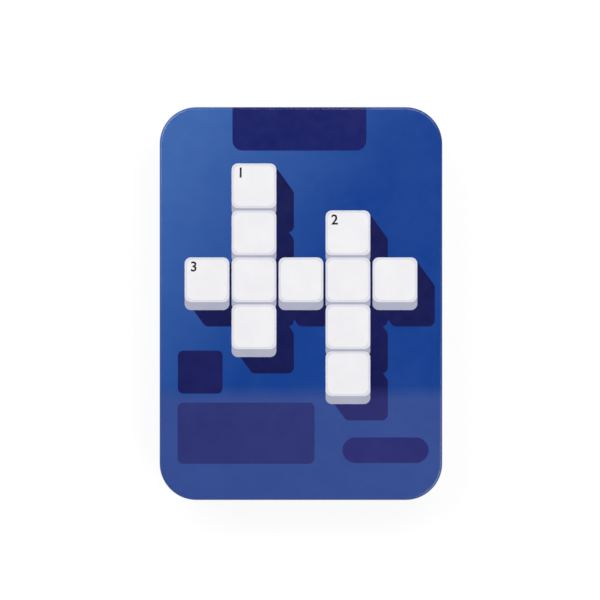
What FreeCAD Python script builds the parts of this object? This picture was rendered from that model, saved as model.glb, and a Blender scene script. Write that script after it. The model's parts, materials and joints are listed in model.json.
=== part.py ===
import FreeCAD, Part
import math
import os
import Sketcher

# Word dice game in a flat hinged tin: lid, base, hinge wires, moulded tray, folded leaflet, twelve dice.
# Millimetres. The tin lies on its base, +Z up, X across, Y along, the origin under its middle.

sizes = {
    # the closed tin
    "tin_width": 100.0,
    "tin_length": 139.0,
    "tin_height": 30.0,
    "corner_radius": 13.0,
    "sheet_thickness": 0.28,
    # the lid
    "lid_depth": 10.0,
    "lid_edge_radius": 1.2,
    # the base
    "base_inset": 0.2,
    "base_edge_radius": 2.0,
    "shoulder_bevel": 0.6,
    "foot_width": 4.0,
    "panel_rise": 0.8,
    "panel_bevel": 0.3,
    # room between lid and base
    "seam_gap": 0.25,
    "neck_gap": 0.5,
    "lid_gap": 0.3,
    # the hinge
    "wire_radius": 0.5,
    "wire_fit": 0.02,
    "wire_grip": 6.0,
    "wire_end_gap": 0.1,
    "strap_fit": 0.04,
    "strap_width": 9.0,
    "hinge_spacing": 70.0,
    "notch_gap": 0.4,
    "notch_rise": 0.6,
    "punch_radius": 0.3,
    "window_height": 3.4,
    # the dice
    "die_side": 20.0,
    "die_edge_bevel": 1.0,
    # the tray
    "tray_thickness": 0.6,
    "tray_clearance": 0.4,
    "tray_edge_bevel": 1.0,
    "pocket_clearance": 0.4,
    "pocket_depth": 10.0,
    "pocket_corner_radius": 2.4,
    "side_margin": 5.0,
    "end_margin": 7.0,
    "thumb_radius": 5.5,
    "thumb_depth": 6.0,
    # the leaflet
    "leaflet_side_margin": 4.8,
    "leaflet_end_margin": 5.3,
    "paper_thickness": 0.12,
    "fold_gap": 0.12,
    "leaflet_room": 0.2,
    # how far a cut runs past the face it opens
    "overrun": 1.0,
}
pocket_columns = 3
pocket_rows = 4
strap_turn = 290.0
skirt_draft = 3.0
quarter_turn = 90.0

doc = FreeCAD.newDocument("word_dice_game")
sheet = doc.addObject("Spreadsheet::Sheet", "Sizes")
for row, (alias, size) in enumerate(sizes.items(), start=1):
    sheet.set(f"A{row}", alias)
    sheet.set(f"B{row}", str(size))
    sheet.setAlias(f"B{row}", alias)
doc.recompute()

# formulas that several pieces share
half_width = "Sizes.tin_width / 2"
bead_bore = "(Sizes.wire_radius + Sizes.wire_fit)"
bead_radius = f"({bead_bore} + Sizes.sheet_thickness)"
bead_flat_bevel = f"{bead_radius} * (2 - sqrt(2))"
inner_bevel_share = "(2 - sqrt(2))"
lid_bottom = "(Sizes.tin_height - Sizes.lid_depth)"
lid_ceiling = "(Sizes.tin_height - Sizes.sheet_thickness)"
bead_top = f"({lid_bottom} + 2 * {bead_radius})"
hinge_height = f"({lid_bottom} + {bead_radius})"
hinge_reach = f"({half_width} - {bead_radius})"
neck_inset = f"(2 * {bead_radius} + Sizes.neck_gap)"
shoulder_height = f"({lid_bottom} - Sizes.seam_gap)"
rim_top = f"({lid_ceiling} - Sizes.lid_gap)"
rim_bottom = f"({rim_top} - 2 * {bead_radius})"
rim_inset = f"({neck_inset} + 2 * {bead_radius})"
panel_top = "(Sizes.panel_rise + Sizes.sheet_thickness)"
panel_inset = "(Sizes.base_inset + Sizes.base_edge_radius + Sizes.foot_width)"
notch_width = "(Sizes.strap_width + 2 * Sizes.notch_gap)"
barrel_length = f"({notch_width} + 2 * Sizes.wire_grip)"
fold_radius = "(Sizes.paper_thickness + Sizes.fold_gap / 2)"
leaflet_width = f"(Sizes.tin_width - 2 * ({panel_inset} + Sizes.leaflet_side_margin))"
leaflet_length = f"(Sizes.tin_length - 2 * ({panel_inset} + Sizes.leaflet_end_margin))"
layer_step = "(Sizes.paper_thickness + Sizes.fold_gap)"
leaflet_top = f"({panel_top} + 2 * {layer_step} + Sizes.paper_thickness)"
tray_inset = f"({rim_inset} + Sizes.tray_clearance)"
pocket_underside = f"({leaflet_top} + Sizes.leaflet_room)"
die_seat = f"({pocket_underside} + Sizes.tray_thickness)"
deck_top = f"({die_seat} + Sizes.pocket_depth)"
pocket_side = "(Sizes.die_side + 2 * Sizes.pocket_clearance)"
column_span = f"(Sizes.tin_width - 2 * {tray_inset} - 2 * Sizes.side_margin - {pocket_side})"
row_span = f"(Sizes.tin_length - 2 * {tray_inset} - 2 * Sizes.end_margin - {pocket_side})"
sides = {"upper": 1, "lower": -1}


def value(formula):
    return float(sheet.evalExpression(formula))


def new_body(label):
    body = doc.addObject("PartDesign::Body", label)
    body.Label = label
    return body


def new_sketch(body, name, plane, across="0", along="0", out="0"):
    sketch = body.newObject("Sketcher::SketchObject", name)
    origin_plane = next(part for part in body.Origin.OriginFeatures if part.Role == plane)
    sketch.AttachmentSupport = (origin_plane, "")
    sketch.MapMode = "FlatFace"
    for axis, formula in zip("xyz", (across, along, out)):
        sketch.setExpression(f"AttachmentOffset.Base.{axis}", formula)
    return sketch


def dimension(sketch, name, formula, *constraint):
    index = sketch.addConstraint(Sketcher.Constraint(*constraint, value(formula)))
    sketch.renameConstraint(index, name)
    sketch.setExpression(f"Constraints.{name}", formula)


def point(x, y):
    return FreeCAD.Vector(x, y, 0)


def arc(x, y, radius, start, end):
    circle = Part.Circle(point(x, y), FreeCAD.Vector(0, 0, 1), radius)
    return Part.ArcOfCircle(circle, math.radians(start), math.radians(end))


def draw_rectangle(sketch, width, height):
    x, y = value(width) / 2, value(height) / 2
    corners = [point(-x, -y), point(x, -y), point(x, y), point(-x, y)]
    for index, corner in enumerate(corners):
        sketch.addGeometry(Part.LineSegment(corner, corners[(index + 1) % len(corners)]))
    for index in range(len(corners)):
        sketch.addConstraint(Sketcher.Constraint("Coincident", index, 2, (index + 1) % len(corners), 1))
        sketch.addConstraint(Sketcher.Constraint("Vertical" if index % 2 else "Horizontal", index))
    sketch.addConstraint(Sketcher.Constraint("Symmetric", 0, 1, 2, 1, -1, 1))
    dimension(sketch, "width", width, "DistanceX", 0, 1, 0, 2)
    dimension(sketch, "height", height, "DistanceY", 1, 1, 1, 2)


def draw_rounded(sketch, width, height, radius):
    x, y, r = value(width) / 2, value(height) / 2, value(radius)
    sketch.addGeometry(Part.LineSegment(point(r - x, -y), point(x - r, -y)))
    sketch.addGeometry(Part.LineSegment(point(x, r - y), point(x, y - r)))
    sketch.addGeometry(Part.LineSegment(point(x - r, y), point(r - x, y)))
    sketch.addGeometry(Part.LineSegment(point(-x, y - r), point(-x, r - y)))
    sketch.addGeometry(arc(x - r, r - y, r, -quarter_turn, 0))
    sketch.addGeometry(arc(x - r, y - r, r, 0, quarter_turn))
    sketch.addGeometry(arc(r - x, y - r, r, quarter_turn, 2 * quarter_turn))
    sketch.addGeometry(arc(r - x, r - y, r, 2 * quarter_turn, 3 * quarter_turn))
    for line in range(4):
        corner = line + 4
        sketch.addConstraint(Sketcher.Constraint("Tangent", line, 2, corner, 1))
        sketch.addConstraint(Sketcher.Constraint("Tangent", corner, 2, (line + 1) % 4, 1))
        sketch.addConstraint(Sketcher.Constraint("Vertical" if line % 2 else "Horizontal", line))
        if line:
            sketch.addConstraint(Sketcher.Constraint("Equal", 4, corner))
    sketch.addConstraint(Sketcher.Constraint("Symmetric", 0, 1, 2, 1, -1, 1))
    dimension(sketch, "width", width, "DistanceX", 3, 1, 1, 1)
    dimension(sketch, "height", height, "DistanceY", 0, 1, 2, 1)
    dimension(sketch, "radius", radius, "Radius", 4)


def draw_outline(sketch, inset):
    width = f"Sizes.tin_width - 2 * {inset}"
    height = f"Sizes.tin_length - 2 * {inset}"
    draw_rounded(sketch, width, height, f"Sizes.corner_radius - {inset}")


def draw_circle(sketch, radius):
    sketch.addGeometry(Part.Circle(point(0, 0), FreeCAD.Vector(0, 0, 1), value(radius)))
    sketch.addConstraint(Sketcher.Constraint("Coincident", 0, 3, -1, 1))
    dimension(sketch, "radius", radius, "Radius", 0)


def draw_ring_sector(sketch, outer, inner, start, turn):
    angles = (math.radians(start), math.radians(start + turn))
    for radius in (outer, inner):
        sketch.addGeometry(arc(0, 0, value(radius), start, start + turn))
    for angle in angles:
        along = point(math.cos(angle), math.sin(angle))
        sketch.addGeometry(Part.LineSegment(along * value(inner), along * value(outer)))
    for index in (0, 1):
        sketch.addConstraint(Sketcher.Constraint("Coincident", index, 3, -1, 1))
    for end, line in ((1, 2), (2, 3)):
        sketch.addConstraint(Sketcher.Constraint("Coincident", line, 1, 1, end))
        sketch.addConstraint(Sketcher.Constraint("Coincident", line, 2, 0, end))
        sketch.addConstraint(Sketcher.Constraint("Angle", line, angles[end - 1] % (2 * math.pi)))
        sketch.addConstraint(Sketcher.Constraint("PointOnObject", -1, 1, line))
    dimension(sketch, "outer", outer, "Radius", 0)
    dimension(sketch, "inner", inner, "Radius", 1)


def extrude(body, kind, name, sketch, length, reverse=False, both_ways=False, draft=0.0):
    feature = body.newObject(f"PartDesign::{kind}", name)
    feature.Profile = sketch
    feature.setExpression("Length", length)
    feature.Reversed = reverse
    if both_ways:
        feature.SideType = "Symmetric"
    feature.TaperAngle = draft
    doc.recompute()
    return feature


def pad(body, name, sketch, length, **options):
    return extrude(body, "Pad", name, sketch, length, **options)


def pocket(body, name, sketch, length, **options):
    before = body.Tip.Shape.Volume
    feature = extrude(body, "Pocket", name, sketch, length, **options)
    if feature.Shape.Volume >= before:
        raise RuntimeError(f"{body.Label}: {name} cuts nothing")
    return feature


def edges_at(feature, height, reach=half_width):
    level, limit = value(height), value(reach)
    slack = value("Sizes.sheet_thickness") / 100
    found = []
    for index, edge in enumerate(feature.Shape.Edges, start=1):
        box = edge.BoundBox
        flat = abs(box.ZMin - level) < slack and abs(box.ZMax - level) < slack
        if flat and max(-box.XMin, box.XMax) < limit + slack:
            found.append(f"Edge{index}")
    return found


def round_edges(body, name, feature, edges, radius):
    fillet = body.newObject("PartDesign::Fillet", name)
    fillet.Base = (feature, edges)
    fillet.setExpression("Radius", radius)
    doc.recompute()
    return fillet


def bevel_edges(body, name, feature, edges, size):
    chamfer = body.newObject("PartDesign::Chamfer", name)
    chamfer.Base = (feature, edges)
    chamfer.setExpression("Size", size)
    doc.recompute()
    return chamfer


def make_lid():
    body = new_body("lid_tin")
    outline = new_sketch(body, "lid_outline", "XY_Plane", out=lid_bottom)
    draw_outline(outline, "0")
    pad(body, "lid_block", outline, "Sizes.lid_depth")
    inside = new_sketch(body, "lid_inside_outline", "XY_Plane", out=bead_top)
    draw_outline(inside, "Sizes.sheet_thickness")
    hollow = pocket(body, "lid_inside", inside, f"{lid_ceiling} - {bead_top}", reverse=True)
    inner_bevel = f"(Sizes.lid_edge_radius - Sizes.sheet_thickness) * {inner_bevel_share}"
    hollow = bevel_edges(body, "lid_inside_edge", hollow, edges_at(hollow, lid_ceiling), inner_bevel)
    top_edge = edges_at(hollow, "Sizes.tin_height")
    round_edges(body, "lid_edge", hollow, top_edge, "Sizes.lid_edge_radius")

    # the hem, rolled inward
    mouth = new_sketch(body, "lid_mouth_outline", "XY_Plane", out=lid_bottom)
    draw_outline(mouth, f"2 * {bead_radius}")
    hem = pocket(body, "lid_mouth", mouth, f"2 * {bead_radius}", reverse=True)
    hem = bevel_edges(body, "hem_under", hem, edges_at(hem, lid_bottom), bead_flat_bevel)
    ledge = edges_at(hem, bead_top, f"{half_width} - 2 * {bead_radius}")
    bevel_edges(body, "hem_inner", hem, ledge, bead_flat_bevel)

    # the wire's bore in the hem, and a notch at its middle for the base's strap
    notch_top = f"({bead_top} + Sizes.notch_rise)"
    notch_bottom = f"({lid_bottom} - Sizes.overrun)"
    for name, side in sides.items():
        middle = f"{side} * Sizes.hinge_spacing / 2"
        bore = new_sketch(body, f"bore_{name}_outline", "XZ_Plane", f"-{hinge_reach}", hinge_height, f"-{middle}")
        draw_circle(bore, bead_bore)
        pocket(body, f"bore_{name}", bore, barrel_length, both_ways=True)
        notch = new_sketch(
            body, f"notch_{name}_outline", "YZ_Plane", middle,
            f"({notch_top} + {notch_bottom}) / 2", f"-{half_width} - Sizes.overrun",
        )
        draw_rounded(notch, notch_width, f"{notch_top} - {notch_bottom}", "Sizes.punch_radius")
        depth = f"Sizes.overrun + {neck_inset} - Sizes.neck_gap / 2"
        pocket(body, f"notch_{name}", notch, depth, reverse=True)
    return body


def make_base():
    body = new_body("base_tin")
    outline = new_sketch(body, "base_outline", "XY_Plane")
    draw_outline(outline, "Sizes.base_inset")
    pad(body, "base_block", outline, shoulder_height)
    inside = new_sketch(body, "base_inside_outline", "XY_Plane", out="Sizes.sheet_thickness")
    draw_outline(inside, "(Sizes.base_inset + Sizes.sheet_thickness)")
    ceiling = f"({shoulder_height} - Sizes.sheet_thickness)"
    shell = pocket(body, "base_inside", inside, f"{ceiling} - Sizes.sheet_thickness", reverse=True)
    inner_bevel = f"(Sizes.base_edge_radius - Sizes.sheet_thickness) * {inner_bevel_share}"
    floor_edge = edges_at(shell, "Sizes.sheet_thickness")
    shell = bevel_edges(body, "base_inside_edge", shell, floor_edge, inner_bevel)
    shell = round_edges(body, "base_edge", shell, edges_at(shell, "0"), "Sizes.base_edge_radius")
    shell = bevel_edges(body, "inside_shoulder", shell, edges_at(shell, ceiling), "Sizes.shoulder_bevel")
    bevel_edges(body, "shoulder", shell, edges_at(shell, shoulder_height), "Sizes.shoulder_bevel")

    # the neck under the lid, and its rim, rolled inward
    neck = new_sketch(body, "neck_outline", "XY_Plane", out=shoulder_height)
    draw_outline(neck, neck_inset)
    pad(body, "neck", neck, f"{rim_top} - {shoulder_height}")
    neck_inside = new_sketch(body, "neck_inside_outline", "XY_Plane", out=ceiling)
    draw_outline(neck_inside, f"({neck_inset} + Sizes.sheet_thickness)")
    pocket(body, "neck_inside", neck_inside, f"{rim_bottom} - {ceiling}", reverse=True)
    mouth = new_sketch(body, "mouth_outline", "XY_Plane", out=rim_top)
    draw_outline(mouth, rim_inset)
    rim = pocket(body, "mouth", mouth, f"2 * {bead_radius}")
    bevel_edges(body, "rim_over", rim, edges_at(rim, rim_top), bead_flat_bevel)

    # the raised floor inside the standing ring
    panel = new_sketch(body, "panel_outline", "XY_Plane", out="Sizes.sheet_thickness")
    draw_outline(panel, panel_inset)
    pad(body, "floor_panel", panel, "Sizes.panel_rise")
    recess = new_sketch(body, "recess_outline", "XY_Plane")
    draw_outline(recess, f"({panel_inset} + Sizes.sheet_thickness)")
    sunk = pocket(body, "floor_recess", recess, "Sizes.panel_rise", reverse=True)
    mouth_edge = edges_at(sunk, "0", f"{half_width} - {panel_inset}")
    bevel_edges(body, "recess_edge", sunk, mouth_edge, "Sizes.panel_bevel")

    # two straps, cut out of the neck and wrapped round the hinge wires
    strap_bore = "(Sizes.wire_radius + Sizes.strap_fit)"
    strap_radius = f"({strap_bore} + Sizes.sheet_thickness)"
    leg = f"({hinge_reach} - {half_width} + {neck_inset} + Sizes.sheet_thickness / 2)"
    leg_height = f"{hinge_height} + {strap_bore} + Sizes.sheet_thickness / 2"
    for name, side in sides.items():
        middle = f"{side} * Sizes.hinge_spacing / 2"
        loop = new_sketch(
            body, f"strap_{name}_loop_outline", "XZ_Plane", f"-{hinge_reach}", hinge_height, f"-{middle}",
        )
        draw_ring_sector(loop, strap_radius, strap_bore, quarter_turn, strap_turn)
        pad(body, f"strap_{name}_loop", loop, "Sizes.strap_width", both_ways=True)
        tongue = new_sketch(
            body, f"strap_{name}_leg_outline", "XZ_Plane", f"{leg} / 2 - {hinge_reach}", leg_height, f"-{middle}",
        )
        draw_rectangle(tongue, leg, "Sizes.sheet_thickness")
        pad(body, f"strap_{name}_leg", tongue, "Sizes.strap_width", both_ways=True)
        window = new_sketch(
            body, f"window_{name}_outline", "YZ_Plane", middle,
            f"{hinge_height} + {strap_radius} + Sizes.window_height / 2",
            f"{neck_inset} - {half_width} - Sizes.overrun",
        )
        draw_rounded(window, "Sizes.strap_width", "Sizes.window_height", "Sizes.punch_radius")
        pocket(body, f"window_{name}", window, "2 * Sizes.overrun + Sizes.sheet_thickness", reverse=True)
    return body


def make_hinge_wire(name, side):
    wire = doc.addObject("Part::Cylinder", f"hinge_wire_{name}")
    wire.Label = f"hinge_wire_{name}"
    length = f"({barrel_length} - 2 * Sizes.wire_end_gap)"
    wire.setExpression("Radius", "Sizes.wire_radius")
    wire.setExpression("Height", length)
    wire.Placement.Rotation = FreeCAD.Rotation(FreeCAD.Vector(1, 0, 0), -quarter_turn)
    wire.setExpression("Placement.Base.x", f"-{hinge_reach}")
    wire.setExpression("Placement.Base.y", f"{side} * Sizes.hinge_spacing / 2 - {length} / 2")
    wire.setExpression("Placement.Base.z", hinge_height)
    return wire


def spread_pockets(body, name, feature, sketch):
    grid = body.newObject("PartDesign::LinearPattern", name)
    grid.Originals = [feature]
    grid.Direction = (sketch, ["H_Axis"])
    grid.setExpression("Length", column_span)
    grid.Occurrences = pocket_columns
    grid.Direction2 = (sketch, ["V_Axis"])
    grid.setExpression("Length2", row_span)
    grid.Occurrences2 = pocket_rows
    body.Tip = grid
    doc.recompute()
    return grid


def make_tray():
    body = new_body("dice_tray")
    outline = new_sketch(body, "tray_outline", "XY_Plane", out="Sizes.sheet_thickness")
    draw_outline(outline, tray_inset)
    block = pad(body, "tray_block", outline, f"{deck_top} - Sizes.sheet_thickness", draft=-skirt_draft)
    bevel_edges(body, "tray_edge", block, edges_at(block, deck_top), "Sizes.tray_edge_bevel")
    inside = new_sketch(body, "tray_inside_outline", "XY_Plane", out="Sizes.sheet_thickness")
    draw_outline(inside, f"({tray_inset} + Sizes.tray_thickness)")
    deck_underside = f"({deck_top} - Sizes.tray_thickness)"
    pocket(
        body, "tray_inside", inside, f"{deck_underside} - Sizes.sheet_thickness",
        reverse=True, draft=-skirt_draft,
    )
    first_pocket = (f"-{column_span} / 2", f"-{row_span} / 2")
    cup = new_sketch(body, "cup_outline", "XY_Plane", *first_pocket, pocket_underside)
    cup_side = f"({pocket_side} + 2 * Sizes.tray_thickness)"
    draw_rectangle(cup, cup_side, cup_side)
    cup_block = pad(body, "cup", cup, f"{deck_underside} - {pocket_underside}")
    spread_pockets(body, "cups", cup_block, cup)
    well = new_sketch(body, "well_outline", "XY_Plane", *first_pocket, die_seat)
    draw_rounded(well, pocket_side, pocket_side, "Sizes.pocket_corner_radius")
    well_cut = pocket(body, "well", well, "Sizes.pocket_depth", reverse=True)
    spread_pockets(body, "wells", well_cut, well)
    for name, side in sides.items():
        end = f"{side} * (Sizes.tin_length / 2 - {tray_inset})"
        thumb = new_sketch(body, f"thumb_{name}_outline", "XY_Plane", along=end, out=deck_top)
        draw_circle(thumb, "Sizes.thumb_radius")
        pocket(body, f"thumb_{name}", thumb, "Sizes.thumb_depth")
    return body


def make_leaflet():
    body = new_body("rules_leaflet")
    edge = f"{leaflet_width} / 2"
    crease = f"({edge} - {fold_radius})"
    layer_ends = ((f"-{edge}", crease), (f"-{crease}", crease), (f"-{crease}", edge))
    for index, (left, right) in enumerate(layer_ends):
        middle = f"{panel_top} + {index} * {layer_step} + Sizes.paper_thickness / 2"
        layer = new_sketch(body, f"layer_{index}_outline", "XZ_Plane", f"({left} + {right}) / 2", middle)
        draw_rectangle(layer, f"{right} - ({left})", "Sizes.paper_thickness")
        pad(body, f"layer_{index}", layer, leaflet_length, both_ways=True)
        if index == 0:
            continue
        side = 1 if index % 2 else -1
        fold = new_sketch(
            body, f"fold_{index}_outline", "XZ_Plane", f"{side} * {crease}", f"{middle} - {layer_step} / 2",
        )
        draw_ring_sector(fold, fold_radius, "Sizes.fold_gap / 2", -side * quarter_turn, 2 * quarter_turn)
        pad(body, f"fold_{index}", fold, leaflet_length, both_ways=True)
    return body


def make_die(number):
    body = new_body(f"die_{number + 1:02d}")
    outline = new_sketch(body, f"die_{number + 1:02d}_outline", "XY_Plane")
    draw_rectangle(outline, "Sizes.die_side", "Sizes.die_side")
    cube = pad(body, f"die_{number + 1:02d}_cube", outline, "Sizes.die_side")
    edges = [f"Edge{index + 1}" for index in range(len(cube.Shape.Edges))]
    bevel_edges(body, f"die_{number + 1:02d}_bevel", cube, edges, "Sizes.die_edge_bevel")
    row, column = divmod(number, pocket_columns)
    column_share = column / (pocket_columns - 1) - 1 / 2
    row_share = 1 / 2 - row / (pocket_rows - 1)
    body.setExpression("Placement.Base.x", f"{column_share} * {column_span}")
    body.setExpression("Placement.Base.y", f"{row_share} * {row_span}")
    body.setExpression("Placement.Base.z", die_seat)
    return body


parts = [make_lid(), make_base(), make_tray(), make_leaflet()]
parts += [make_hinge_wire(name, side) for name, side in sides.items()]
parts += [make_die(number) for number in range(pocket_columns * pocket_rows)]
doc.recompute()

for item in doc.Objects:
    if "Invalid" in item.State or "Error" in item.State:
        raise RuntimeError(f"{item.Label} failed: {item.State}")
for part in parts:
    if part.Shape.isNull() or not part.Shape.isValid():
        raise RuntimeError(f"{part.Label} has no valid shape")

os.makedirs("parts", exist_ok=True)
for part in parts:
    part.Shape.exportStep(f"parts/{part.Label}.step")
    print(f"{part.Label}: {part.Shape.Volume:.1f} mm3, {len(part.Shape.Solids)} solid")
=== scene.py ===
import json
import math

import bmesh
import bpy
from mathutils import Matrix, Vector
from mathutils.geometry import convex_hull_2d


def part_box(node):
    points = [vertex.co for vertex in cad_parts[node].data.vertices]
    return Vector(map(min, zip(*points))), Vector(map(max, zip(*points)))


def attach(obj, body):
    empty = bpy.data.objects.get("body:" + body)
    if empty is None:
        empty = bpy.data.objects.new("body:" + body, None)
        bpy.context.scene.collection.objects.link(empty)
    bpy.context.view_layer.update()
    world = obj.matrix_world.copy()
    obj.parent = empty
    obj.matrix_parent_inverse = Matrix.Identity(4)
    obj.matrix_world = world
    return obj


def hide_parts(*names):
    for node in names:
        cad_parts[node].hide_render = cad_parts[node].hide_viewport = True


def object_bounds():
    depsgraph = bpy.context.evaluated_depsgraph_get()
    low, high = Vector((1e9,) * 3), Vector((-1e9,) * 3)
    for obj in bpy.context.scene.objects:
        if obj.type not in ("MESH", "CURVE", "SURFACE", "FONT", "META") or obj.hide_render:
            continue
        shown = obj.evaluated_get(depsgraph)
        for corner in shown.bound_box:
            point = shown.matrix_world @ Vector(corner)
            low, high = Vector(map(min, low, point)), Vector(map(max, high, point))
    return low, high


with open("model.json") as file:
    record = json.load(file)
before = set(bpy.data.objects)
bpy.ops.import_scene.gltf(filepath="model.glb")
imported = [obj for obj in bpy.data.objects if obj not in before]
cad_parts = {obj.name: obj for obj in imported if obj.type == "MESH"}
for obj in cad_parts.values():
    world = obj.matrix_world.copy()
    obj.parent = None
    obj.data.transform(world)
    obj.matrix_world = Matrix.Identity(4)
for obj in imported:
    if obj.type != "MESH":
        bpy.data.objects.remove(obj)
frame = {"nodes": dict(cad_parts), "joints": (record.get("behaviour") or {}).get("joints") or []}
cadLow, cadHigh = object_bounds()
scene = bpy.context.scene
scene.view_settings.view_transform = "Standard"
mm = 0.001

lidLow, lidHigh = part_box("lid_tin")
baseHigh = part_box("base_tin")[1]
trayLow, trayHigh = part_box("dice_tray")
dieNames = sorted(name for name in frame["nodes"] if name.startswith("die_"))
wireNames = ["hinge_wire_upper", "hinge_wire_lower"]
hingeLine = next(joint for joint in frame["joints"] if joint["name"] == "lid_hinge")["pos_m"]
wireMiddles = [(sum(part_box(name), Vector()) / 2).y for name in wireNames]
print("frame:", len(frame["nodes"]), "nodes")


def addObject(name, data):
    made = bpy.data.objects.new(name, data)
    scene.collection.objects.link(made)
    return made


# small helpers for node materials
def ink(red, green, blue):
    def toLinear(level):
        share = level / 255
        return share / 12.92 if share <= 0.04045 else ((share + 0.055) / 1.055) ** 2.4
    return (toLinear(red), toLinear(green), toLinear(blue), 1)


def newMaterial(name):
    material = bpy.data.materials.new(name)
    material.use_nodes = True
    tree = material.node_tree
    return material, tree, tree.nodes["Principled BSDF"]


def setSocket(tree, socket, source):
    if isinstance(source, bpy.types.NodeSocket):
        tree.links.new(source, socket)
    else:
        socket.default_value = source


def setSockets(tree, shader, **sources):
    for name, source in sources.items():
        setSocket(tree, shader.inputs[name.replace("_", " ")], source)


def addNode(tree, kind, feeds=None, **settings):
    node = tree.nodes.new(kind)
    for name, value in settings.items():
        setattr(node, name, value)
    for name, source in (feeds or {}).items():
        setSocket(tree, node.inputs[name], source)
    return node


def objectPlace(tree):
    return addNode(tree, "ShaderNodeTexCoord").outputs["Object"]


def splitPlace(tree, place):
    return addNode(tree, "ShaderNodeSeparateXYZ", {"Vector": place}).outputs


def noise(tree, place, scale, detail=3, stretch=None):
    if stretch:
        place = addNode(tree, "ShaderNodeMapping", {"Vector": place, "Scale": stretch}).outputs["Vector"]
    feeds = {"Vector": place, "Scale": scale, "Detail": detail}
    return addNode(tree, "ShaderNodeTexNoise", feeds).outputs["Fac"]


# most of a noise lies between 0.3 and 0.7
def spread(tree, source, low, high, fromLow=0.3, fromHigh=0.7):
    feeds = {"Value": source, "From Min": fromLow, "From Max": fromHigh, "To Min": low, "To Max": high}
    return addNode(tree, "ShaderNodeMapRange", feeds).outputs["Result"]


def mixColours(tree, share, first, second):
    feeds = {"Factor": share, 6: first, 7: second}       # 6 and 7 are the node's colour sockets
    return addNode(tree, "ShaderNodeMix", feeds, data_type="RGBA").outputs[2]


def addBump(tree, shader, height, strength, depth):
    feeds = {"Height": height, "Strength": strength, "Distance": depth}
    setSockets(tree, shader, Normal=addNode(tree, "ShaderNodeBump", feeds).outputs["Normal"])


# the varnish over every ink: a fine orange peel and a slightly uneven gloss
varnish = {
    "roughLow": 0.19, "roughHigh": 0.23, "roughScale": 320, "peelScale": 1400, "peelDetail": 2,
    "peelDepth": 0.02 * mm, "peelStrength": 0.04, "shine": 0.6,
}


def addVarnish(tree, shader, place):
    gloss = noise(tree, place, varnish["roughScale"])
    rough = spread(tree, gloss, varnish["roughLow"], varnish["roughHigh"])
    setSockets(tree, shader, Roughness=rough, Specular_IOR_Level=varnish["shine"])
    peel = noise(tree, place, varnish["peelScale"], varnish["peelDetail"])
    addBump(tree, shader, peel, varnish["peelStrength"], varnish["peelDepth"])


ground = {
    "deep": ink(2, 60, 144), "glow": ink(56, 100, 173), "haze": ink(50, 76, 147), "wall": ink(32, 70, 150),
    "fleck": ink(76, 108, 178), "fleckScale": 90, "fleckDetail": 4, "fleckShare": 0.08,
    "glowRun": (-14.5, 9.5, 0), "glowStart": 0.05, "glowFull": 1.14,
    "hazeHigh": -29 * mm, "hazeLow": -34 * mm,
    "wallTop": lidHigh.z - 0.5 * mm, "wallFull": lidHigh.z - 1.6 * mm,
}


def hazeShare(tree, place):
    return spread(tree, splitPlace(tree, place)["Y"], 0, 1, ground["hazeHigh"], ground["hazeLow"])


# lighter towards the upper left, with a paler band across the foot and plain side walls
def bluePrint():
    material, tree, shader = newMaterial("printed blue ground")
    place = objectPlace(tree)
    feeds = {0: place, 1: ground["glowRun"]}
    run = addNode(tree, "ShaderNodeVectorMath", feeds, operation="DOT_PRODUCT").outputs["Value"]
    glow = spread(tree, run, 0, 1, ground["glowStart"], ground["glowFull"])
    colour = mixColours(tree, glow, ground["deep"], ground["glow"])
    colour = mixColours(tree, hazeShare(tree, place), colour, ground["haze"])
    wall = spread(tree, splitPlace(tree, place)["Z"], 0, 1, ground["wallTop"], ground["wallFull"])
    colour = mixColours(tree, wall, colour, ground["wall"])
    flecks = noise(tree, place, ground["fleckScale"], ground["fleckDetail"])
    colour = mixColours(tree, spread(tree, flecks, 0, ground["fleckShare"]), colour, ground["fleck"])
    setSockets(tree, shader, Base_Color=colour)
    addVarnish(tree, shader, place)
    return material


mottle = {"scale": 120, "detail": 4}


def mottledColour(tree, place, colour, lighter):
    cloud = noise(tree, place, mottle["scale"], mottle["detail"])
    return mixColours(tree, spread(tree, cloud, 0, 1), colour, lighter)


def flatInk(name, colour, lighter):
    material, tree, shader = newMaterial(name)
    place = objectPlace(tree)
    setSockets(tree, shader, Base_Color=mottledColour(tree, place, colour, lighter))
    addVarnish(tree, shader, place)
    return material


shade = {"dark": ink(8, 13, 76), "light": ink(13, 19, 84), "hazed": ink(41, 42, 108)}


# the tiles' printed shadow, paler where it runs into the band
def shadowPrint():
    material, tree, shader = newMaterial("shadow ink")
    place = objectPlace(tree)
    colour = mottledColour(tree, place, shade["dark"], shade["light"])
    setSockets(tree, shader, Base_Color=mixColours(tree, hazeShare(tree, place), colour, shade["hazed"]))
    addVarnish(tree, shader, place)
    return material


tinLook = {
    "dark": ink(207, 208, 209), "light": ink(217, 217, 216), "cloudScale": 45, "cloudDetail": 4,
    "grainScale": 1500, "grainDetail": 2, "grainStretch": (1, 0.008, 1),   # rolling marks run along the tin
    "roughLow": 0.28, "roughHigh": 0.38, "bump": 0.08, "bumpDepth": 0.03 * mm,
}


def tinplate():
    material, tree, shader = newMaterial("bare tinplate")
    place = objectPlace(tree)
    grain = noise(tree, place, tinLook["grainScale"], tinLook["grainDetail"], tinLook["grainStretch"])
    cloud = spread(tree, noise(tree, place, tinLook["cloudScale"], tinLook["cloudDetail"]), 0, 1)
    colour = mixColours(tree, cloud, tinLook["dark"], tinLook["light"])
    rough = spread(tree, grain, tinLook["roughLow"], tinLook["roughHigh"])
    setSockets(tree, shader, Base_Color=colour, Roughness=rough, Metallic=1)
    addBump(tree, shader, grain, tinLook["bump"], tinLook["bumpDepth"])
    return material


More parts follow.
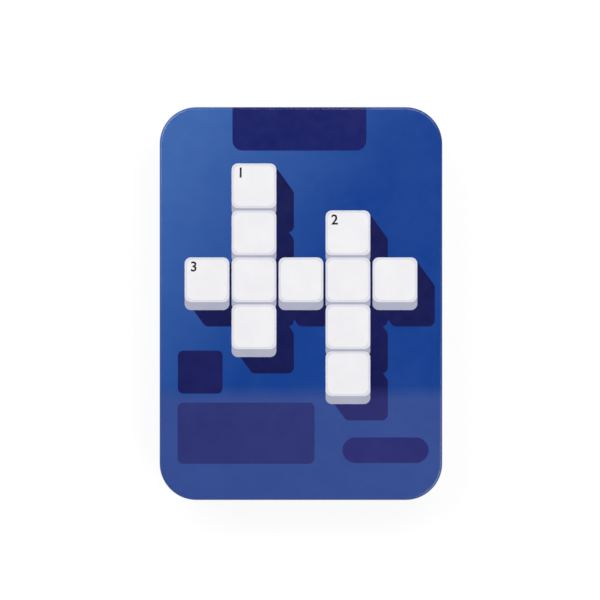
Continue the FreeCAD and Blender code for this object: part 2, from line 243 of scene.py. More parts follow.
wireLook = {
    "dark": ink(150, 151, 153), "light": ink(206, 206, 207), "lineScale": 4000, "lineDetail": 2,
    "lineStretch": (1, 0.01, 1), "roughLow": 0.22, "roughHigh": 0.4, "bump": 0.2, "bumpDepth": 0.02 * mm,
}


def drawnWire():
    material, tree, shader = newMaterial("drawn steel wire")
    place = objectPlace(tree)
    lines = noise(tree, place, wireLook["lineScale"], wireLook["lineDetail"], wireLook["lineStretch"])
    colour = mixColours(tree, lines, wireLook["dark"], wireLook["light"])
    rough = spread(tree, lines, wireLook["roughLow"], wireLook["roughHigh"])
    setSockets(tree, shader, Base_Color=colour, Roughness=rough, Metallic=1)
    addBump(tree, shader, lines, wireLook["bump"], wireLook["bumpDepth"])
    return material


trayLook = {
    "dark": ink(26, 35, 96), "light": ink(33, 44, 112), "flowScale": 25, "flowDetail": 4, "pitScale": 2600,
    "pitDetail": 2, "roughLow": 0.28, "roughHigh": 0.4, "bump": 0.25, "bumpDepth": 0.02 * mm,
}


def trayPlastic():
    material, tree, shader = newMaterial("navy moulded plastic")
    place = objectPlace(tree)
    flow = noise(tree, place, trayLook["flowScale"], trayLook["flowDetail"])
    pits = noise(tree, place, trayLook["pitScale"], trayLook["pitDetail"])
    colour = mixColours(tree, spread(tree, flow, 0, 1), trayLook["dark"], trayLook["light"])
    rough = spread(tree, flow, trayLook["roughLow"], trayLook["roughHigh"])
    setSockets(tree, shader, Base_Color=colour, Roughness=rough)
    addBump(tree, shader, pits, trayLook["bump"], trayLook["bumpDepth"])
    return material


diceLook = {
    "dark": ink(240, 240, 242), "light": ink(247, 246, 248), "cloudScale": 140, "cloudDetail": 3,
    "glossScale": 500, "glossDetail": 2, "roughLow": 0.18, "roughHigh": 0.28,
    "waveScale": 260, "waveDetail": 1, "bump": 0.03, "bumpDepth": 0.03 * mm, "coat": 0.3, "coatRough": 0.12,
}


def dicePlastic():
    material, tree, shader = newMaterial("white dice plastic")
    place = objectPlace(tree)
    cloud = noise(tree, place, diceLook["cloudScale"], diceLook["cloudDetail"])
    gloss = noise(tree, place, diceLook["glossScale"], diceLook["glossDetail"])
    waves = noise(tree, place, diceLook["waveScale"], diceLook["waveDetail"])
    colour = mixColours(tree, spread(tree, cloud, 0, 1), diceLook["dark"], diceLook["light"])
    rough = spread(tree, gloss, diceLook["roughLow"], diceLook["roughHigh"])
    setSockets(tree, shader, Base_Color=colour, Roughness=rough)
    setSockets(tree, shader, Coat_Weight=diceLook["coat"], Coat_Roughness=diceLook["coatRough"])
    addBump(tree, shader, waves, diceLook["bump"], diceLook["bumpDepth"])
    return material


letterLook = {
    "dark": ink(17, 18, 20), "light": ink(27, 28, 31), "cloudScale": 900, "cloudDetail": 3,
    "roughLow": 0.42, "roughHigh": 0.52, "shine": 0.3, "bump": 0.1, "bumpDepth": 0.02 * mm,
}


def dieInk():
    material, tree, shader = newMaterial("black letter ink")
    place = objectPlace(tree)
    cloud = noise(tree, place, letterLook["cloudScale"], letterLook["cloudDetail"])
    colour = mixColours(tree, spread(tree, cloud, 0, 1), letterLook["dark"], letterLook["light"])
    rough = spread(tree, cloud, letterLook["roughLow"], letterLook["roughHigh"])
    setSockets(tree, shader, Base_Color=colour, Roughness=rough, Specular_IOR_Level=letterLook["shine"])
    addBump(tree, shader, cloud, letterLook["bump"], letterLook["bumpDepth"])
    return material


paperLook = {
    "dark": ink(236, 234, 227), "light": ink(244, 243, 238), "cloudScale": 40, "cloudDetail": 3,
    "fibre": ink(214, 211, 202), "fibreShare": 0.25, "fibreScale": 1500, "fibreDetail": 4,
    "fibreStretch": (1, 0.35, 1),
    "roughLow": 0.78, "roughHigh": 0.92, "bump": 0.3, "bumpDepth": 0.04 * mm,
}


def leafletPaper():
    material, tree, shader = newMaterial("leaflet paper")
    place = objectPlace(tree)
    fibre = noise(tree, place, paperLook["fibreScale"], paperLook["fibreDetail"], paperLook["fibreStretch"])
    cloud = noise(tree, place, paperLook["cloudScale"], paperLook["cloudDetail"])
    tone = mixColours(tree, spread(tree, cloud, 0, 1), paperLook["dark"], paperLook["light"])
    colour = mixColours(tree, spread(tree, fibre, 0, paperLook["fibreShare"]), tone, paperLook["fibre"])
    rough = spread(tree, fibre, paperLook["roughLow"], paperLook["roughHigh"])
    setSockets(tree, shader, Base_Color=colour, Roughness=rough)
    addBump(tree, shader, fibre, paperLook["bump"], paperLook["bumpDepth"])
    return material


floorLook = {
    "dark": ink(238, 238, 238), "light": ink(242, 242, 242), "cloudScale": 6, "cloudDetail": 2,
    "rough": 0.9, "shine": 0.1, "shadowed": (0.16, 0.16, 0.16, 1), "white": (1, 1, 1, 1),
    "nearGlow": 0.88, "farGlow": 1, "near": 0.3, "far": 0.9,
}


# the camera and reflections see a white floor that keeps the object's shadow
def shadowFloor():
    material, tree, shader = newMaterial("pale studio floor")
    place = objectPlace(tree)
    cloud = noise(tree, place, floorLook["cloudScale"], floorLook["cloudDetail"])
    tone = mixColours(tree, spread(tree, cloud, 0, 1), floorLook["dark"], floorLook["light"])
    setSockets(tree, shader, Base_Color=tone, Roughness=floorLook["rough"],
               Specular_IOR_Level=floorLook["shine"])
    thin = addNode(tree, "ShaderNodeBsdfDiffuse", {"Color": floorLook["shadowed"]})
    distance = addNode(tree, "ShaderNodeVectorMath", {0: place}, operation="LENGTH").outputs["Value"]
    strength = spread(tree, distance, floorLook["nearGlow"], floorLook["farGlow"],
                      floorLook["near"], floorLook["far"])
    glow = addNode(tree, "ShaderNodeEmission", {"Color": floorLook["white"], "Strength": strength})
    pale = addNode(tree, "ShaderNodeAddShader", {0: thin.outputs[0], 1: glow.outputs[0]})
    rays = addNode(tree, "ShaderNodeLightPath").outputs
    feeds = {0: rays["Is Camera Ray"], 1: rays["Is Glossy Ray"]}
    seen = addNode(tree, "ShaderNodeMath", feeds, operation="MAXIMUM")
    feeds = {0: seen.outputs[0], 1: shader.outputs[0], 2: pale.outputs[0]}
    choose = addNode(tree, "ShaderNodeMixShader", feeds)
    tree.links.new(choose.outputs[0], tree.nodes["Material Output"].inputs["Surface"])
    return material


blueInk = bluePrint()
navyInk = flatInk("navy ink", ink(7, 20, 99), ink(12, 26, 105))
shadeInk = shadowPrint()
badgeInk = flatInk("badge ink", ink(17, 22, 88), ink(22, 27, 95))
panelInk = flatInk("panel ink", ink(42, 49, 115), ink(47, 54, 121))
pillInk = flatInk("pill ink", ink(38, 40, 112), ink(43, 46, 118))
tileInk = flatInk("tile white", ink(242, 241, 245), ink(247, 246, 249))
rimInk = flatInk("tile rim", ink(224, 224, 234), ink(230, 230, 239))
sideInk = flatInk("tile side", ink(172, 174, 194), ink(180, 182, 201))
numeralInk = flatInk("numeral black", ink(28, 29, 33), ink(36, 37, 41))
bareTin = tinplate()
steelWire = drawnWire()
navyPlastic = trayPlastic()
whitePlastic = dicePlastic()
letterInk = dieInk()
paper = leafletPaper()
print("materials ready")


# helpers for meshes
def meshFrom(bm, name, sharpAngle=38):
    bmesh.ops.recalc_face_normals(bm, faces=bm.faces[:])
    mesh = bpy.data.meshes.new(name)
    bm.to_mesh(mesh)
    bm.free()
    shadeMesh(mesh, sharpAngle)
    return mesh


def shadeMesh(mesh, sharpAngle=38):
    mesh.shade_smooth()
    mesh.set_sharp_from_angle(angle=math.radians(sharpAngle))


def evaluated(mesh, addModifiers):
    holder = addObject("work", mesh)
    extras = addModifiers(holder)
    made = bpy.data.meshes.new_from_object(holder.evaluated_get(bpy.context.evaluated_depsgraph_get()))
    for thing in (holder, *extras):
        bpy.data.objects.remove(thing)
    return made


def addBoolean(holder, mesh, operation):
    other = addObject("other", mesh)
    modifier = holder.modifiers.new(operation, "BOOLEAN")
    modifier.operation, modifier.solver, modifier.object = operation, "EXACT", other
    return other


def cutAway(mesh, cutter):
    cut = evaluated(mesh, lambda holder: [addBoolean(holder, cutter, "DIFFERENCE")])
    shadeMesh(cut)
    return cut


def uniteAll(meshes):
    return evaluated(meshes[0], lambda holder: [addBoolean(holder, mesh, "UNION") for mesh in meshes[1:]])


def finishPiece(name, mesh, finishes, body, stands=()):
    for material in finishes:
        mesh.materials.append(material)
    piece = addObject(name, mesh)
    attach(piece, body)
    if stands:
        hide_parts(*stands)


def dressNode(name, material):
    mesh = frame["nodes"][name].data
    mesh.materials.clear()
    mesh.materials.append(material)


def arc(x, z, radius, start, end, steps):
    angles = [math.radians(start + (end - start) * step / steps) for step in range(steps + 1)]
    return [(x + radius * math.cos(angle), z + radius * math.sin(angle)) for angle in angles]


def roundedLoop(halfX, halfY, radius, steps, centre=(0, 0), upperStops=()):
    points = []
    for quarter, (signX, signY) in enumerate(((1, 1), (-1, 1), (-1, -1), (1, -1))):
        for step in range(steps + 1):
            angle = (quarter + step / steps) * math.pi / 2
            points.append((centre[0] + signX * (halfX - radius) + radius * math.cos(angle),
                           centre[1] + signY * (halfY - radius) + radius * math.sin(angle)))
        if quarter == 0:
            points += [(centre[0] + stop, centre[1] + halfY) for stop in upperStops]
    return points


def addRing(bm, points, height):
    return [bm.verts.new((x, y, height)) for x, y in points]


def addFace(bm, corners, finish=0):
    bm.faces.new(corners).material_index = finish


def bridgeRings(bm, first, second, finish=0):
    for index, corner in enumerate(first):
        after = (index + 1) % len(first)
        addFace(bm, (corner, first[after], second[after], second[index]), finish)


def bridgeAll(bm, rings):
    for first, second in zip(rings, rings[1:]):
        bridgeRings(bm, first, second)


def fillLoops(bm, edges):
    bmesh.ops.triangle_fill(bm, use_beauty=True, use_dissolve=False, edges=edges, normal=(0, 0, 1))


def addPrism(bm, points, low, high, finish=0):
    lower, upper = addRing(bm, points, low), addRing(bm, points, high)
    bridgeRings(bm, lower, upper, finish)
    addFace(bm, lower[::-1], finish)
    addFace(bm, upper, finish)


def prismMesh(points, low, high, finish=0):
    bm = bmesh.new()
    addPrism(bm, points, low, high, finish)
    return meshFrom(bm, "prism")


def boxMesh(low, high, finish=0):
    corners = [(low[0], low[1]), (high[0], low[1]), (high[0], high[1]), (low[0], high[1])]
    return prismMesh(corners, low[2], high[2], finish)


tin = {
    "halfWidth": lidHigh.x, "halfLength": lidHigh.y, "corner": 13 * mm, "cornerSteps": 18,
    "sheet": 0.28 * mm, "bead": 0.8 * mm, "beadTurn": 300, "beadSteps": 20,
    "flatNear": 0.4 * mm, "flatFar": 1.6 * mm,
}
tab = {"left": -24.2 * mm, "right": 23.1 * mm, "lowEdge": 54.05 * mm, "corner": 3.5 * mm}
outerPrint, bareMetal, tabPrint = range(3)               # the tin's finishes, in order


def tinLoop(inset):
    return roundedLoop(tin["halfWidth"] - inset, tin["halfLength"] - inset, tin["corner"] - inset,
                       tin["cornerSteps"], upperStops=(tab["right"], tab["left"]))


# a sheet-metal shell: the profile runs from the middle of the outside, round the rolled edge, to the inside
def sheetShell(stretches):
    bm = bmesh.new()
    rings, finishes = [], []
    for points, finish in stretches:
        for inset, height in points:
            rings.append(addRing(bm, tinLoop(inset), height))
            finishes.append(finish)
    for first, second, finish in zip(rings, rings[1:], finishes):
        bridgeRings(bm, first, second, finish)
    addFace(bm, rings[0], finishes[0])
    addFace(bm, rings[-1], finishes[-1])
    return bm


lid = {
    "edge": 0.9 * mm, "edgeSteps": 10, "printDrop": 0.04 * mm, "notchHalf": 4.9 * mm, "notchTop": 22.2 * mm,
    "notchDepth": 1.85 * mm, "overrun": 1 * mm,
}


def lidProfile():
    top, sheet, edge, bead = lidHigh.z - lid["printDrop"], tin["sheet"], lid["edge"], tin["bead"]
    hem = lidLow.z + bead
    near, far = edge + tin["flatNear"], edge + tin["flatFar"]
    turnEnd = 180 + tin["beadTurn"]
    outside = [(far, top), (near, top)] + arc(edge, top - edge, edge, 90, 180, lid["edgeSteps"])
    curl = arc(bead, hem, bead, 180, turnEnd, tin["beadSteps"])
    inside = arc(bead, hem, bead - sheet, turnEnd, 180, tin["beadSteps"])
    inside += arc(edge, top - edge, edge - sheet, 180, 90, lid["edgeSteps"])
    inside += [(near, top - sheet), (far, top - sheet)]
    printEnd = tin["beadSteps"] // 3                     # the print goes a third of the way round the curl
    return [(outside + curl[:printEnd], outerPrint), (curl[printEnd:] + inside, bareMetal)]


def makeLid():
    bm = sheetShell(lidProfile())
    for face in bm.faces:                                # the navy tab runs over the edge and down the side
        middle = face.calc_center_median()
        overTab = tab["left"] < middle.x < tab["right"] and middle.y > tin["halfLength"] - lid["edge"]
        if face.material_index == outerPrint and overTab:
            face.material_index = tabPrint
    mesh = meshFrom(bm, "lidShell")
    for middle in wireMiddles:
        low = (-tin["halfWidth"] - lid["overrun"], middle - lid["notchHalf"], lidLow.z - lid["overrun"])
        high = (-tin["halfWidth"] + lid["notchDepth"], middle + lid["notchHalf"], lid["notchTop"])
        mesh = cutAway(mesh, boxMesh(low, high, bareMetal))
    finishPiece("lidShell", mesh, [blueInk, bareTin, navyInk], "lid", ["lid_tin"])


makeLid()
print("lid shell ready")

base = {
    "inset": 0.2 * mm, "edge": 2 * mm, "shoulder": 19.75 * mm, "shoulderRound": 0.7 * mm, "steps": 8,
    "neck": 2.1 * mm, "neckFillet": 0.2 * mm,
    "panelInset": 6.48 * mm, "panelRise": 0.8 * mm, "panelRound": 0.4 * mm,
    "windowHalf": 4.5 * mm, "windowLow": 21.62 * mm, "windowHigh": 25.02 * mm, "overrun": 1 * mm,
}


def baseProfile():
    sheet, bead, edge, inset = tin["sheet"], tin["bead"], base["edge"], base["inset"]
    shoulder, bend, neck, fillet = base["shoulder"], base["shoulderRound"], base["neck"], base["neckFillet"]
    panel, rise, soft, steps = base["panelInset"], base["panelRise"], base["panelRound"], base["steps"]
    rim, filletSteps = baseHigh.z - bead, steps // 2
    near, far = panel + soft + tin["flatNear"], panel + soft + tin["flatFar"]
    turnEnd = 180 - tin["beadTurn"]
    outside = [(far, rise), (near, rise)]
    outside += arc(panel + soft, rise - soft, soft, 90, 180, steps)
    outside += arc(panel - soft, soft, soft, 0, -90, steps)
    outside += arc(inset + edge, edge, edge, 270, 180, steps)
    outside += arc(inset + bend, shoulder - bend, bend, 180, 90, steps)
    neckLine = arc(neck - fillet, shoulder + fillet, fillet, -90, 0, filletSteps)
    curl = arc(neck + bead, rim, bead, 180, turnEnd, tin["beadSteps"])
    inside = arc(neck + bead, rim, bead - sheet, turnEnd, 180, tin["beadSteps"])
    inside += arc(neck - fillet, shoulder + fillet, fillet + sheet, 0, -90, filletSteps)
    inside += arc(inset + bend, shoulder - bend, bend - sheet, 90, 180, steps)
    inside += arc(inset + edge, edge, edge - sheet, 180, 270, steps)
    inside += arc(panel - soft, soft, soft - sheet, -90, 0, steps)
    inside += arc(panel + soft, rise - soft, soft + sheet, 180, 90, steps)
    inside += [(near, rise + sheet), (far, rise + sheet)]
    return [(outside, outerPrint), (neckLine + curl + inside, bareMetal)]   # print ends at the shoulder


def makeBase():
    mesh = meshFrom(sheetShell(baseProfile()), "baseShell")
    wall = -tin["halfWidth"] + base["neck"]
    for middle in wireMiddles:
        low = (wall - base["neckFillet"], middle - base["windowHalf"], base["windowLow"])
        high = (wall + base["overrun"], middle + base["windowHalf"], base["windowHigh"])
        mesh = cutAway(mesh, boxMesh(low, high, bareMetal))
    finishPiece("baseShell", mesh, [blueInk, bareTin], "base", ["base_tin"])


makeBase()

strap = {
    "bore": 0.54 * mm, "sheet": 0.27 * mm, "half": 4.5 * mm, "turn": 290, "steps": 30, "sharpAngle": 50,
}


def makeStraps():
    sheet, bore = strap["sheet"], strap["bore"]
    start, end = 90, 90 + strap["turn"]
    outer = arc(hingeLine[0], hingeLine[2], bore + sheet, start, end, strap["steps"])
    inner = arc(hingeLine[0], hingeLine[2], bore, end, start, strap["steps"])
    root = -tin["halfWidth"] + base["neck"] + tin["sheet"]
    outline = outer + inner + [(root, inner[-1][1]), (root, outer[0][1])]
    bm = bmesh.new()
    for middle in wireMiddles:
        rings = []
        for side in (-1, 1):
            rings.append([bm.verts.new((x, middle + side * strap["half"], z)) for x, z in outline])
        bridgeAll(bm, rings)
        for ring in rings:
            addFace(bm, ring)
    mesh = meshFrom(bm, "hingeStraps", strap["sharpAngle"])
    finishPiece("hingeStraps", mesh, [bareTin], "base")


makeStraps()
for name in wireNames:
    dressNode(name, steelWire)
dressNode("rules_leaflet", paper)
print("base, hinge and leaflet ready")

tray = {
    "wall": 0.6 * mm, "draft": math.tan(math.radians(3)), "edgeRound": 1 * mm, "flat": 0.4 * mm,
    "pocketHalf": 10.4 * mm, "pocketCorner": 2.4 * mm, "pocketDraft": 0.25 * mm, "rimRound": 0.8 * mm,
    "floorRound": 1.2 * mm, "steps": 6, "thumb": 5.5 * mm, "thumbLow": 6.48 * mm, "thumbSteps": 48,
    "overrun": 1 * mm, "seatGap": 0.03 * mm,
}
dieMiddles = {name: sum(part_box(name), Vector()) / 2 for name in dieNames}
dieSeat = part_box(dieNames[0])[0].z


def addSkirt(bm):
    deck, soft, steps = trayHigh.z, tray["edgeRound"], tray["steps"]
    inset = tin["halfWidth"] - trayHigh.x
    lean = tray["draft"] * (deck - soft - trayLow.z)
    profile = [(inset, trayLow.z)] + arc(inset + lean + soft, deck - soft, soft, 180, 90, steps)
    profile.append((profile[-1][0] + tray["flat"], deck))
    rings = [addRing(bm, tinLoop(reach), height) for reach, height in profile]
    bridgeAll(bm, rings)
    return rings[-1]


def addPocket(bm, middle):
    deck, steps, corner = trayHigh.z, tray["steps"], tray["pocketCorner"]
    half, rim, floor = tray["pocketHalf"], tray["rimRound"], tray["floorRound"]
    mouth = half + tray["pocketDraft"]
    seat = dieSeat - tray["seatGap"]                     # just clear of the ink under each die
    wall = [(mouth + rim + tray["flat"], deck)] + arc(mouth + rim, deck - rim, rim, 90, 180, steps)
    wall += arc(half - floor, seat + floor, floor, 0, -90, steps)
    wall.append((half - floor - tray["flat"], seat))
    rings = []
    for reach, height in wall:
        bend = corner + max(reach - half, -floor)
        rings.append(addRing(bm, roundedLoop(reach, reach, bend, steps, (middle.x, middle.y)), height))
    bridgeAll(bm, rings)
    addFace(bm, rings[-1])
    return rings[0]


def thicken(holder):
    modifier = holder.modifiers.new("thickness", "SOLIDIFY")
    modifier.thickness, modifier.offset, modifier.use_even_offset = tray["wall"], -1, True
    return []


def thumbCutter(side):
    circle = arc(0, side * trayHigh.y, tray["thumb"], 0, 360, tray["thumbSteps"])[:-1]
    return prismMesh(circle, tray["thumbLow"], trayHigh.z + tray["overrun"])


def makeTray():
    bm = bmesh.new()
    borders = [addSkirt(bm)] + [addPocket(bm, middle) for middle in dieMiddles.values()]
    edges = []
    for ring in borders:
        edges += [bm.edges.get(pair) for pair in zip(ring, ring[1:] + ring[:1])]
    fillLoops(bm, edges)
    mesh = meshFrom(bm, "tray")
    if sum(face.normal.z * face.area for face in mesh.polygons) < 0:
        mesh.flip_normals()
    mesh = evaluated(mesh, thicken)
    for side in (-1, 1):
        mesh = cutAway(mesh, thumbCutter(side))
    finishPiece("trayInsert", mesh, [navyPlastic], "tray", ["dice_tray"])


makeTray()
print("tray ready")

glyph = {"curveSteps": 5, "wallHeight": 1}


# a letter's outline in Blender's own font: walls are made, and their upper edges kept
def glyphOutline(text, weight):
    curve = bpy.data.curves.new("glyph", "FONT")
    curve.body, curve.offset, curve.resolution_u = text, weight, glyph["curveSteps"]
    curve.fill_mode, curve.extrude = "NONE", glyph["wallHeight"]
    holder = addObject("glyph", curve)
    mesh = bpy.data.meshes.new_from_object(holder.evaluated_get(bpy.context.evaluated_depsgraph_get()))
    bpy.data.objects.remove(holder)
    bm = bmesh.new()
    bm.from_mesh(mesh)
    bmesh.ops.delete(bm, geom=[vert for vert in bm.verts if vert.co.z < 0], context="VERTS")
    return bm


def edgeRun(edge):
    return edge.verts[1].co - edge.verts[0].co


# flat letter and numeral shapes, scaled to a cap height and centred
def glyphMesh(text, capHeight, weight):
    plain, bold = glyphOutline(text, 0), glyphOutline(text, weight)
    turned = [edge for edge, before in zip(bold.edges, plain.edges)
              if edgeRun(edge).dot(edgeRun(before)) < 0]
    bmesh.ops.collapse(bold, edges=turned)               # points that passed each other in a notch
    fillLoops(bold, bold.edges[:])
    xs, ys = [vert.co.x for vert in bold.verts], [vert.co.y for vert in bold.verts]
    middle = ((max(xs) + min(xs)) / 2, (max(ys) + min(ys)) / 2, glyph["wallHeight"])
    scale = capHeight / (max(ys) - min(ys))
    bold.transform(Matrix.Scale(scale, 4) @ Matrix.Translation(-Vector(middle)))
    mesh = bpy.data.meshes.new("glyph")
    bold.to_mesh(mesh)
    bold.free()
    plain.free()
    return mesh


def addGlyph(bm, mesh, placement, thickness, finish=0):
    part = bmesh.new()
    part.from_mesh(mesh)
    made = bmesh.ops.extrude_face_region(part, geom=part.faces[:])
    lifted = [item for item in made["geom"] if isinstance(item, bmesh.types.BMVert)]
    bmesh.ops.translate(part, verts=lifted, vec=(0, 0, thickness))
    bmesh.ops.recalc_face_normals(part, faces=part.faces[:])
    part.transform(placement)
    solid = bpy.data.meshes.new("glyphSolid")
    part.to_mesh(solid)
    part.free()
    addFilm(bm, solid, finish)
    bpy.data.meshes.remove(solid)


def addFilm(bm, mesh, finish):
    first = len(bm.faces)
    bm.from_mesh(mesh)
    bm.faces.ensure_lookup_table()
    for face in bm.faces[first:]:
        face.material_index = finish


dice = {
    "round": 2.0 * mm, "roundSteps": 5, "flat": 0.35 * mm, "capHeight": 10.2 * mm, "weight": 0.045,
    "inkThickness": 0.03 * mm, "inkSink": 0.015 * mm,
    "faces": ["ATGLEN", "HUKCOP", "RYDAFT", "TKIREN", "UGCLDA", "NVEHOD", "CAPTIR", "LEPUNI", "YDOTHA",
              "FIGREL", "KANOLT", "VECUTI"],
    "turns": [0, 0, 1, 0, 3, 0, 0, 2, 0, 1, 0, 0],       # quarter turns of each die's letters
}
quarterTurn = math.pi / 2
faceTurns = [Matrix.Rotation(turns * quarterTurn, 4, axis)
             for turns, axis in ((0, "X"), (2, "X"), (1, "X"), (-1, "X"), (1, "Y"), (-1, "Y"))]
glyphs = {letter: glyphMesh(letter, dice["capHeight"], dice["weight"])
          for letter in sorted(set("".join(dice["faces"])))}


def dieCube(name, middle, half):
    bm = bmesh.new()
    bmesh.ops.create_cube(bm, size=2 * half)
    bmesh.ops.bevel(bm, geom=bm.edges[:] + bm.verts[:], offset=dice["round"], segments=dice["roundSteps"],
                    profile=0.5, affect="EDGES", clamp_overlap=True)
    flats = [face for face in bm.faces if face.calc_area() > half * half]
    bmesh.ops.inset_individual(bm, faces=flats, thickness=dice["flat"])
    bmesh.ops.translate(bm, verts=bm.verts[:], vec=middle)
    return meshFrom(bm, name)


def dieLetters(name, middle, half, letters, turn):
    bm = bmesh.new()
    lift = Matrix.Translation((0, 0, half - dice["inkSink"]))
    spin = Matrix.Rotation(turn * quarterTurn, 4, "Z")
    for letter, faceTurn in zip(letters, faceTurns):
        placement = Matrix.Translation(middle) @ faceTurn @ lift @ spin
        addGlyph(bm, glyphs[letter], placement, dice["inkThickness"])
    return meshFrom(bm, name)


def makeDie(name, letters, turn):
    low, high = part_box(name)
    middle, half = (low + high) / 2, (high.x - low.x) / 2
    finishPiece(f"{name}.cube", dieCube(name, middle, half), [whitePlastic], name, [name])
    mesh = dieLetters(name, middle, half, letters, turn)
    finishPiece(f"{name}.letters", mesh, [letterInk], name)


for name, letters, turn in zip(dieNames, dice["faces"], dice["turns"]):
    makeDie(name, letters, turn)
print("dice ready")

# the lid's print: thin films of ink on the lid, each laid a little over the one below
lidPrint = {
    "sink": 0.02 * mm, "shadowLift": 0.004 * mm, "sideLift": 0.008 * mm, "rimLift": 0.012 * mm,
    "faceLift": 0.016 * mm, "numeralLift": 0.022 * mm, "plateLift": 0.016 * mm, "cornerSteps": 7,
    "rows": [".#...", ".#.#.", "#####", ".#.#.", "...#."],
    "numerals": {(1, 0): "1", (3, 1): "2", (0, 2): "3"},
    "tile": 15.8 * mm, "pitch": 16.6 * mm, "tileCorner": 2.2 * mm, "firstTile": (-33.2 * mm, 41.6 * mm),
    "faceInset": 0.8 * mm, "side": (0, -2.8 * mm), "shadow": (6.2 * mm, -8.6 * mm),
    "numeralHeight": 3.6 * mm, "numeralPlace": 4.7 * mm, "numeralWeight": 0.02,
    "plates": {                                          # middle, half size, corner
        "badge": ((-35.6 * mm, -24.2 * mm), (7.9 * mm, 7.6 * mm), 1.9 * mm),
        "panel": ((-19.4 * mm, -45.8 * mm), (24.2 * mm, 10.8 * mm), 1.9 * mm),
        "pill": ((29.9 * mm, -51.8 * mm), (15.2 * mm, 4.5 * mm), 4.45 * mm),
    },
}
printInks = {
    "face": tileInk, "rim": rimInk, "side": sideInk, "shadow": shadeInk, "numeral": numeralInk,
    "badge": badgeInk, "panel": panelInk, "pill": pillInk, "tab": navyInk,
}
inkNumber = {name: number for number, name in enumerate(printInks)}
printTop = lidHigh.z - lid["printDrop"]
printLow = printTop - lidPrint["sink"]


# each film also goes as far below as above, so that no two share an edge
def printDepth(lift):
    return printLow - lidPrint[lift], printTop + lidPrint[lift]


def addPrint(bm, name, outline, lift):
    addPrism(bm, outline, *printDepth(lift), inkNumber[name])


def tileMiddles():
    firstX, firstY = lidPrint["firstTile"]
    pitch = lidPrint["pitch"]
    middles = {}
    for row, marks in enumerate(lidPrint["rows"]):
        for column, mark in enumerate(marks):
            if mark == "#":
                middles[column, row] = (firstX + column * pitch, firstY - row * pitch)
    return middles


def tileOutline(middle, inset=0):
    half = lidPrint["tile"] / 2 - inset
    return roundedLoop(half, half, lidPrint["tileCorner"], lidPrint["cornerSteps"], middle)


def sweptLoop(loop, shift):
    points = loop + [(x + shift[0], y + shift[1]) for x, y in loop]
    return [points[index] for index in convex_hull_2d(points)]


def addNumeral(bm, text, middle):
    mesh = glyphMesh(text, lidPrint["numeralHeight"], lidPrint["numeralWeight"])
    corner = lidPrint["numeralPlace"]
    spot = Matrix.Translation((middle[0] - corner, middle[1] + corner, printTop))
    addGlyph(bm, mesh, spot, lidPrint["numeralLift"], inkNumber["numeral"])


def addTiles(bm):
    middles = tileMiddles()
    for name, lift in (("shadow", "shadowLift"), ("side", "sideLift")):
        swept = [prismMesh(sweptLoop(tileOutline(middle), lidPrint[name]), *printDepth(lift))
                 for middle in middles.values()]
        addFilm(bm, uniteAll(swept), inkNumber[name])
    for place, middle in middles.items():
        addPrint(bm, "rim", tileOutline(middle), "rimLift")
        addPrint(bm, "face", tileOutline(middle, lidPrint["faceInset"]), "faceLift")
        if place in lidPrint["numerals"]:
            addNumeral(bm, lidPrint["numerals"][place], middle)


# the tab ends where the lid's edge starts to bend
def tabOutline():
    left, right, corner, steps = tab["left"], tab["right"], tab["corner"], lidPrint["cornerSteps"]
    top = tin["halfLength"] - lid["edge"]
    outline = [(right, top), (left, top)]
    outline += arc(left + corner, tab["lowEdge"] + corner, corner, 180, 270, steps)
    outline += arc(right - corner, tab["lowEdge"] + corner, corner, 270, 360, steps)
    return outline


def makeLidPrint():
    bm = bmesh.new()
    addTiles(bm)
    for name, (middle, reach, corner) in lidPrint["plates"].items():
        addPrint(bm, name, roundedLoop(*reach, corner, lidPrint["cornerSteps"], middle), "plateLift")
    addPrint(bm, "tab", tabOutline(), "plateLift")
    finishPiece("lidPrint", meshFrom(bm, "lidPrint"), printInks.values(), "lid")


makeLidPrint()
print("lid print ready")

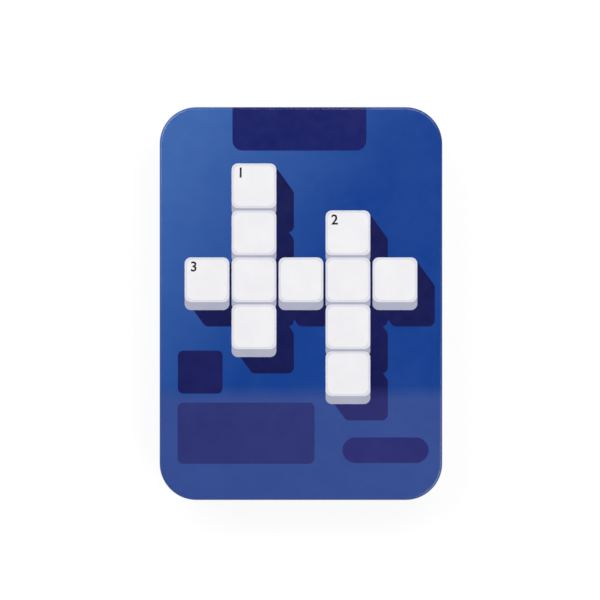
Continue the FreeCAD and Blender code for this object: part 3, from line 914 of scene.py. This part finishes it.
studio = {
    "floorHalf": 4.0, "floorGap": 0.02 * mm, "lens": 120, "sensor": 36, "frameWidth": 211.97 * mm,
    "aim": (-0.34 * mm, 1.26 * mm), "horizon": 1.0, "zenith": 0.07, "lowSky": 0.05, "highSky": 0.45,
    "sky": (1, 1, 1, 1),
    "lamps": [                                           # name, place, width and height, watts
        ("keySoftbox", (-0.72, 0.65, 1.45), (0.9, 0.9), 13.6),
        ("fillSoftbox", (0.79, -0.58, 1.4), (0.9, 0.9), 10.4),
        ("edgeStrip", (0.25, 0.53, 1.12), (0.5, 0.18), 4.0),
    ],
}


def makeFloor():
    reach, depth = studio["floorHalf"], cadLow.z - studio["floorGap"]
    bm = bmesh.new()
    addFace(bm, addRing(bm, ((-reach, -reach), (reach, -reach), (reach, reach), (-reach, reach)), depth))
    mesh = bpy.data.meshes.new("floor")
    bm.to_mesh(mesh)
    bm.free()
    mesh.materials.append(shadowFloor())
    addObject("floor", mesh)


def makeLamps():
    for name, place, size, power in studio["lamps"]:
        lamp = bpy.data.lights.new(name, "AREA")
        lamp.shape, lamp.size, lamp.size_y, lamp.energy = "RECTANGLE", *size, power
        holder = addObject(name, lamp)
        holder.location = place
        holder.rotation_euler = (-Vector(place)).to_track_quat("-Z", "Y").to_euler()


# white to the camera, and a light that is strongest near the horizon
def makeWorld():
    world = bpy.data.worlds.new("studio")
    scene.world = world
    world.use_nodes = True
    tree = world.node_tree
    heading = addNode(tree, "ShaderNodeTexCoord").outputs["Generated"]
    height = splitPlace(tree, heading)["Z"]
    level = spread(tree, height, studio["horizon"], studio["zenith"], studio["lowSky"], studio["highSky"])
    seen = addNode(tree, "ShaderNodeLightPath").outputs["Is Camera Ray"]
    white = addNode(tree, "ShaderNodeMath", {0: seen, 1: level}, operation="MAXIMUM").outputs[0]
    setSockets(tree, tree.nodes["Background"], Color=studio["sky"], Strength=white)


def makeCamera():
    camera = bpy.data.cameras.new("camera")
    camera.lens, camera.sensor_width = studio["lens"], studio["sensor"]
    holder = addObject("camera", camera)
    distance = studio["frameWidth"] * studio["lens"] / studio["sensor"]
    holder.location = (*studio["aim"], lidHigh.z + distance)
    scene.camera = holder


makeFloor()
makeLamps()
makeWorld()
makeCamera()
print("studio ready")
